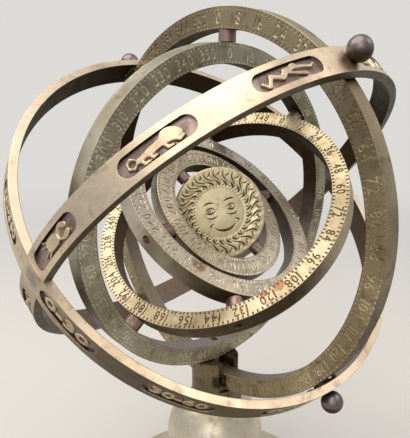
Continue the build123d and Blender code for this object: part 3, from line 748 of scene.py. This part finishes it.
# %% Twelve traditional signs, as strokes: width, then points, in millimetres
SIGNS = {
    "ram": [(1.35, -3, 0.2, 3.2, 0.3), (1.0, 4.4, 1.2, 5.6, 1.4),
            (0.4, 5.2, 2.4, 6.4, 2.6, 6.9, 1.6, 6.2, 1.2),
            (0.5, -3.4, -0.6, -4.2, -2.9), (0.5, -2, -0.6, -1.8, -2.9), (0.5, 2.6, -0.6, 2.2, -2.9),
            (0.5, 3.6, -0.4, 5.0, -2.7), (0.4, -4.2, 0.8, -5.4, 0.2)],
    "bull": [(1.6, -3, 0.3, 3.0, 0.4), (1.1, 4.6, 0.6, 6.0, -0.2), (0.35, 4.8, 1.8, 5.2, 2.9, 6.4, 2.8),
             (0.5, -3.8, -0.6, -4.4, -2.9), (0.5, -2.4, -0.8, -1.4, -2.9), (0.5, 2.2, -0.8, 1.6, -2.9),
             (0.5, 3.4, -0.8, 4.4, -2.9), (0.3, -4.4, 0.8, -6.4, 1.4, -7.6, -0.4)],
    "twins": [(0.8, -5.4, -1.2, -1.8, -0.2), (0.75, -0.6, 0.2, -0.4, 0.3), (0.4, -5.4, -0.6, -8.6, -2.2),
              (0.4, -5.4, -1.4, -8.8, -0.6), (0.35, -2.2, 0.2, -0.6, 2.4), (0.8, 5.6, -0.6, 2.4, 0.4),
              (0.75, 1.0, 1.0, 1.2, 1.1), (0.4, 5.6, -0.2, 9.0, 1.4), (0.4, 5.6, -1.0, 8.8, -2.2),
              (0.35, 2.8, 0.2, 0.8, -1.6)],
    "crab": [(2.0, -0.8, 0, 0.8, 0), (0.5, 2.4, 0.8, 4.6, 2.2), (0.9, 5.4, 2.0, 6.6, 1.2),
             (0.5, 2.4, -0.8, 4.6, -2.2), (0.9, 5.4, -2.0, 6.6, -1.2), (0.35, -1.6, 1.4, -4.0, 2.8),
             (0.35, -2.0, 0.6, -5.4, 1.6), (0.35, -2.0, -0.6, -5.4, -1.6), (0.35, -1.6, -1.4, -4.0, -2.8)],
    "lion": [(0.8, -5.4, -0.5, -2.2, -0.2), (1.15, -2.2, -0.2, 1.2, 0.2), (2.0, 3.4, 0.9, 3.9, 0.8),
             (1.5, 5.2, 0.5, 5.4, 0.2),
             (0.75, 6.3, -0.4, 6.6, -0.5),
             (0.4, -5.6, -0.5, -7.2, -1.7, -8.5, -0.9, -8.4, 0.9, -7.2, 1.5, -6.3, 0.7),
             (0.5, -5.0, -1.0, -4.4, -2.4, -3.2, -2.5), (0.45, -2.6, -1.0, -1.9, -2.3, -0.9, -2.2),
             (0.5, 1.6, -0.6, 2.3, -2.3, 3.5, -2.5), (0.5, 4.2, -1.0, 5.6, -2.2, 6.9, -1.8)],
    "maiden": [(0.6, -7.2, -2.1, -5.4, 0.9), (0.75, -5.4, 0.9, -2.4, -0.7), (0.5, -8.6, -0.4, -7.4, -1.9),
               (0.85, -2.4, -0.7, -0.9, 1.0, 0.9, 1.4),
               (0.95, 2.0, 1.9, 2.2, 1.9), (0.55, 0.9, 1.3, 4.2, 1.0, 7.2, 0.1), (0.45, 7.2, 0.1, 8.6, 0.9),
               (0.5, -0.6, 0.3, 2.4, -1.0, 4.6, -1.9)],
    "scales": [(0.35, -6.6, 1.9, 6.6, 1.9), (0.5, 0, 2.6, 0, -2.6), (0.3, -6.6, 1.9, -8.2, -1.0),
               (0.3, -6.6, 1.9, -5.0, -1.0), (0.6, -8.4, -1.4, -4.8, -1.4), (0.3, 6.6, 1.9, 8.2, -1.0),
               (0.3, 6.6, 1.9, 5.0, -1.0), (0.6, 4.8, -1.4, 8.4, -1.4), (0.5, -1.6, -2.6, 1.6, -2.6)],
    "scorpion": [(1.1, 0.6, 0, 4.0, 0.1), (0.65, -0.6, -0.2, -3.6, -1.6, -6.2, -0.2, -8.2, 1.6),
                 (0.4, -8.2, 1.6, -9.8, 0.8), (0.4, 4.6, 0.8, 6.6, 2.0), (0.8, 7.6, 1.9, 8.8, 1.1),
                 (0.4, 4.6, -0.8, 6.6, -2.0), (0.8, 7.6, -1.9, 8.8, -1.1), (0.3, 2.6, 0.8, 1.4, 2.6),
                 (0.3, 3.4, 0.8, 3.0, 2.8), (0.3, 2.6, -0.8, 1.4, -2.6), (0.3, 3.4, -0.8, 3.0, -2.8)],
    "archer": [(1.1, -4.4, -0.4, 0.2, -0.2), (0.8, 0.8, 0.4, 1.6, 1.6), (0.7, 2.0, 2.4, 2.2, 2.4),
               (0.45, -4.8, -0.8, -6.0, -2.8), (0.45, -3.2, -1.0, -2.6, -2.9), (0.45, 0.2, -0.8, 1.4, -2.8),
               (0.35, 1.6, 1.4, 4.8, 1.3), (0.3, 4.2, 2.9, 5.8, 1.3, 4.2, -0.6), (0.25, 2.4, 1.3, 8.0, 1.3),
               (0.3, -5.4, 0.2, -7.4, -1.0)],
    "goat": [(1.2, -1.8, 0.1, 2.6, 0.4), (0.8, 3.9, 1.2, 5.4, 1.0), (0.3, 4.0, 2.0, 3.0, 2.9, 1.8, 2.6),
             (0.45, 2.0, -0.6, 3.8, -2.8), (0.45, 3.0, -0.4, 5.4, -2.0),
             (0.8, -2.4, -0.2, -5.4, -1.4, -7.2, 0.2),
             (0.45, -7.4, 0.4, -9.0, 2.0), (0.45, -7.4, 0.4, -9.4, 0.4)],
    "water_bearer": [(0.9, -3.2, -0.2, 1.0, 0.6), (0.8, 2.6, 1.4, 2.8, 1.4), (0.5, -3.6, -0.4, -7.4, -1.8),
                     (0.5, -3.4, 0.2, -7.6, 0.8), (0.4, 0.8, 1.2, 3.4, -0.6), (0.9, 4.2, -0.6, 5.4, -1.0),
                     (0.3, 6.0, -1.2, 7.4, -0.4, 8.6, -1.6, 9.8, -0.8),
                     (0.3, 5.8, -2.2, 7.2, -1.6, 8.4, -2.6, 9.6, -1.9)],
    "fishes": [(1.0, -6.2, 1.2, -1.8, 1.4), (0.4, -1.4, 1.4, 0.2, 2.6), (0.4, -1.4, 1.4, 0.4, 0.6),
               (0.45, -7.4, 1.1, -8.2, 1.0), (1.0, 6.2, -1.2, 1.8, -1.4), (0.4, 1.4, -1.4, -0.2, -2.6),
               (0.4, 1.4, -1.4, -0.4, -0.6), (0.45, 7.4, -1.1, 8.2, -1.0),
               (0.2, -7.6, 0.6, 0, -0.1, 7.6, -0.4)],
}


# %% A relief from strokes
SIGN_STRETCH = (1.36, 1.14)


def sign_height(x, y, strokes_of):
    """How far the relief stands off the floor of the recess, in millimetres: nearly flush, flat on
    top and steep at its sides."""
    x, y = x / SIGN_STRETCH[0], y / SIGN_STRETCH[1]
    depth = np.full_like(x, -9.0)
    for width, *numbers in strokes_of:
        points = list(zip(numbers[::2], numbers[1::2]))
        for (x1, y1), (x2, y2) in zip(points, points[1:]):
            length = max((x2 - x1) ** 2 + (y2 - y1) ** 2, 1e-9)
            t = np.clip(((x - x1) * (x2 - x1) + (y - y1) * (y2 - y1)) / length, 0, 1)
            d = np.hypot(x - x1 - t * (x2 - x1), y - y1 - t * (y2 - y1))
            near = 1.18 * width - d
            depth = np.where(depth > -8, np.logaddexp(depth * 5, near * 5) / 5, near)
    rise = np.clip(depth / 0.42, 0, 1)
    return 1.2 * (1 - (1 - rise) ** 2.4) - 0.12 * (depth < 0)


def wrapped(piece, place, angle, base):
    """A flat piece in millimetres is bent round the band, its x along it and its y across it."""
    for vertex in piece.data.vertices:
        x, y, z = vertex.co
        radius = base + z * MM
        turn = math.radians(angle) + x * MM / CAGE_RADIUS
        vertex.co = (radius * math.cos(turn), radius * math.sin(turn), y * MM)
    piece.data.transform(place)
    piece.data.update()


place_a = placed(crossing, normal_a)
place_b = placed(crossing, normal_b)
RECESS_TURN_A = 1.5
RECESS_TURN_B = -2.5
order = ["twins", "bull", "ram", "fishes", "water_bearer", "goat", "archer", "scorpion", "scales",
         "maiden", "lion", "crab"]
reliefs = []
for k, sign in enumerate(order):
    start_clean()
    bpy.ops.mesh.primitive_grid_add(x_subdivisions=170, y_subdivisions=46, size=1)
    relief = bpy.context.object
    relief.data.transform(Matrix.Diagonal((29.0, 7.5, 1, 1)))
    xy = np.zeros(len(relief.data.vertices) * 3)
    relief.data.vertices.foreach_get("co", xy)
    xy = xy.reshape(-1, 3)
    xy[:, 2] = sign_height(xy[:, 0], xy[:, 1], SIGNS[sign])
    relief.data.vertices.foreach_set("co", xy.ravel())
    bpy.ops.object.mode_set(mode="EDIT")
    mesh = bmesh.from_edit_mesh(relief.data)
    bare = [f for f in mesh.faces if all(v.co.z < 0 for v in f.verts)]
    bmesh.ops.delete(mesh, geom=bare, context="FACES")
    bmesh.update_edit_mesh(relief.data)
    bpy.ops.object.mode_set(mode="OBJECT")
    relief.data.transform(Matrix.Rotation(math.pi, 4, "Z"))
    wrapped(relief, place_a, 30 * k + 15 + RECESS_TURN_A, RECESS_FLOOR)
    reliefs.append(relief)
pick(*reliefs)
bpy.ops.object.join()
signs = settle(bpy.context.object, Matrix.Identity(4), "relief_signs")
signs.data.materials.clear()
signs.data.materials.append(relief_brass)
smooth(signs, 70)
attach(signs, "stand_and_cage")
print("signs", len(signs.data.polygons), "faces")

# %% Raised numbers on the other band
labels = []
for k in range(12):
    start_clean()
    bpy.ops.object.text_add()
    text = bpy.context.object
    text.data.body = f"{30 * k}-{30 * k + 30}"
    text.data.align_x = "CENTER"
    text.data.align_y = "CENTER"
    text.data.size = 6.4
    text.data.offset = 0.08
    text.data.resolution_u = 3
    text.data.extrude = 0.5
    text.data.bevel_depth = 0.09
    text.data.bevel_resolution = 0
    bpy.ops.object.convert(target="MESH")
    label = bpy.context.object
    wide = max(v.co.x for v in label.data.vertices) - min(v.co.x for v in label.data.vertices)
    middle = (max(v.co.y for v in label.data.vertices) + min(v.co.y for v in label.data.vertices)) / 2
    label.data.transform(Matrix.Diagonal((24.5 / wide, 1.08, 1, 1)) @ Matrix.Translation((0, -middle, 0.4)))
    wrapped(label, place_b, 30 * k + 15 + RECESS_TURN_B, RECESS_FLOOR)
    labels.append(label)
pick(*labels)
bpy.ops.object.join()
numbers = settle(bpy.context.object, Matrix.Identity(4), "raised_numbers")
numbers.data.materials.clear()
numbers.data.materials.append(relief_brass)
outward(numbers)
smooth(numbers, 40)
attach(numbers, "stand_and_cage")
print("numbers", len(numbers.data.polygons), "faces")

# %% [markdown]
# ## Solder at the finials
# The bands are held to the outer ring by pins, and each joint was flooded with solder, which has
# gone black and crumbly. Drops of several sizes are set about each joint and melted into one lump
# by remeshing.

# %% Lumps of solder
random.seed(4)
lumps = []
joints_of_bands = [(finial_axis_a, normal_a), (finial_axis_b, normal_b),
                   (-finial_axis_b, normal_b), (-finial_axis_a, normal_a)]
for number, (axis, across) in enumerate(joints_of_bands, start=1):
    along = across.cross(axis).normalized()
    drops = []
    for k in range(26):
        start_clean()
        size = random.uniform(0.7, 1.25) * MM
        bpy.ops.mesh.primitive_ico_sphere_add(subdivisions=2, radius=size)
        drop = bpy.context.object
        side = random.choice((-1, 1))
        place = axis * (BAND_INNER - size * random.uniform(0.1, 0.9))
        place += along * side * random.uniform(3.4, 6.6) * MM + across * random.uniform(-4.6, 4.6) * MM
        drop.data.transform(Matrix.Translation(CENTRE + place))
        drops.append(drop)
    for k in range(14):
        start_clean()
        bpy.ops.mesh.primitive_ico_sphere_add(subdivisions=2, radius=0.85 * MM)
        drop = bpy.context.object
        a = 2 * math.pi * k / 14
        place = axis * 95.55 * MM + along * 3.0 * MM * math.cos(a) + across * 3.0 * MM * math.sin(a)
        drop.data.transform(Matrix.Translation(CENTRE + place))
        drops.append(drop)
    pick(*drops)
    bpy.ops.object.join()
    lump = settle(bpy.context.object, Matrix.Identity(4), f"solder_{number}")
    melt = lump.modifiers.new("melt", "REMESH")
    melt.mode = "VOXEL"
    melt.voxel_size = 0.28 * MM
    bpy.ops.object.modifier_apply(modifier=melt.name)
    lump.data.materials.clear()
    lump.data.materials.append(solder)
    smooth(lump, 80)
    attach(lump, "stand_and_cage")
    lumps.append(lump)
print("solder lumps", len(lumps), [len(lump.data.polygons) for lump in lumps])

# %% [markdown]
# ## The studio
# A plain pale floor that fades into an even backdrop, a big soft lamp overhead, smaller ones from
# the left, the right and the front, and an even grey world.

# %% Floor and lamps
start_clean()
bpy.ops.mesh.primitive_plane_add(size=30)
floor = bpy.context.object
floor.name = "studio_floor"
BACKDROP = colour("#dcdbd7")
paint = bpy.data.materials.new("matt_floor_paint")
paint.use_nodes = True
tree = paint.node_tree
tree.nodes["Principled BSDF"].inputs["Base Color"].default_value = colour("#cfcec9")
tree.nodes["Principled BSDF"].inputs["Roughness"].default_value = 0.9
reach = length_of(tree, node(tree, "ShaderNodeTexCoord").outputs["Object"])
seen = node(tree, "ShaderNodeLightPath").outputs["Is Camera Ray"]
far = maths(tree, "MULTIPLY", ramp(tree, reach, 0.25, 1.3), seen)
plain = node(tree, "ShaderNodeEmission", {"Color": BACKDROP})
blend = node(tree, "ShaderNodeMixShader",
             {0: far, 1: tree.nodes["Principled BSDF"].outputs[0], 2: plain.outputs[0]})
tree.links.new(blend.outputs[0], tree.nodes["Material Output"].inputs[0])
floor.data.materials.append(paint)

world = bpy.data.worlds.new("studio")
world.use_nodes = True
tree = world.node_tree
glow = tree.nodes["Background"]
glow.inputs["Color"].default_value = colour("#c9ccd2")
glow.inputs["Strength"].default_value = 0.95
plain = node(tree, "ShaderNodeBackground", {"Color": BACKDROP, "Strength": 1.0})
seen = node(tree, "ShaderNodeLightPath").outputs["Is Camera Ray"]
blend = node(tree, "ShaderNodeMixShader", {0: seen, 1: glow.outputs[0], 2: plain.outputs[0]})
tree.links.new(blend.outputs[0], tree.nodes["World Output"].inputs[0])
bpy.context.scene.world = world

YAW, ELEVATION, ROLL = (math.radians(a) for a in (45.38, 16.53, -0.73))
level_ahead = Vector((-math.sin(YAW), math.cos(YAW), 0))
level_right = Vector((math.cos(YAW), math.sin(YAW), 0))
ahead = level_ahead * math.cos(ELEVATION) - UP * math.sin(ELEVATION)
down = -(UP * math.cos(ELEVATION) + level_ahead * math.sin(ELEVATION))


def lamp(name, offset, size, power, tint):
    """A soft square lamp that looks at the sphere, placed right, up and towards the camera."""
    data = bpy.data.lights.new(name, "AREA")
    data.size = size
    data.energy = power
    data.color = colour(tint)[:3]
    made = bpy.data.objects.new(name, data)
    bpy.context.collection.objects.link(made)
    right, up, near = offset
    spot = CENTRE + level_right * right + UP * up - level_ahead * near
    made.location = spot
    made.rotation_euler = (spot - CENTRE).to_track_quat("Z", "Y").to_euler()


lamp("overhead", (-0.3, 1.05, 0.15), 1.2, 10.5, "#fff4e6")
lamp("window", (-0.75, 0.75, -0.12), 0.45, 1.7, "#fff6ec")
lamp("front", (-0.1, 0.55, 1.0), 0.8, 3.4, "#fff8f0")
lamp("right", (0.8, 0.74, 0.0), 0.5, 2.0, "#fff0dc")

# %% Camera at the photograph's place
WIDTH, HEIGHT = 410, 438
FOCAL = 514.8
CENTRE_X, CENTRE_Y = 228.7, 248.6
SEEN_RIGHT, SEEN_DOWN, SEEN_AHEAD = -4.598 * MM, -17.851 * MM, 259.34 * MM
camera_right = level_right * math.cos(ROLL) + down * math.sin(ROLL)
camera_down = down * math.cos(ROLL) - level_right * math.sin(ROLL)
shift = camera_right * SEEN_RIGHT + camera_down * SEEN_DOWN + ahead * SEEN_AHEAD
spot = CENTRE - shift
data = bpy.data.cameras.new("photo_view")
data.sensor_width = 36
data.lens = 36 * FOCAL / HEIGHT
data.shift_x = (WIDTH / 2 - CENTRE_X) / HEIGHT
data.shift_y = (CENTRE_Y - HEIGHT / 2) / HEIGHT
data.clip_start = 0.01
camera = bpy.data.objects.new("photo_view", data)
bpy.context.collection.objects.link(camera)
turn = Matrix((camera_right, -camera_down, -ahead)).transposed().to_4x4()
camera.matrix_world = Matrix.Translation(spot) @ turn
bpy.context.scene.camera = camera
bpy.context.scene.view_settings.view_transform = "Standard"
print("camera at", tuple(round(c, 3) for c in spot), "lens", round(data.lens, 2))
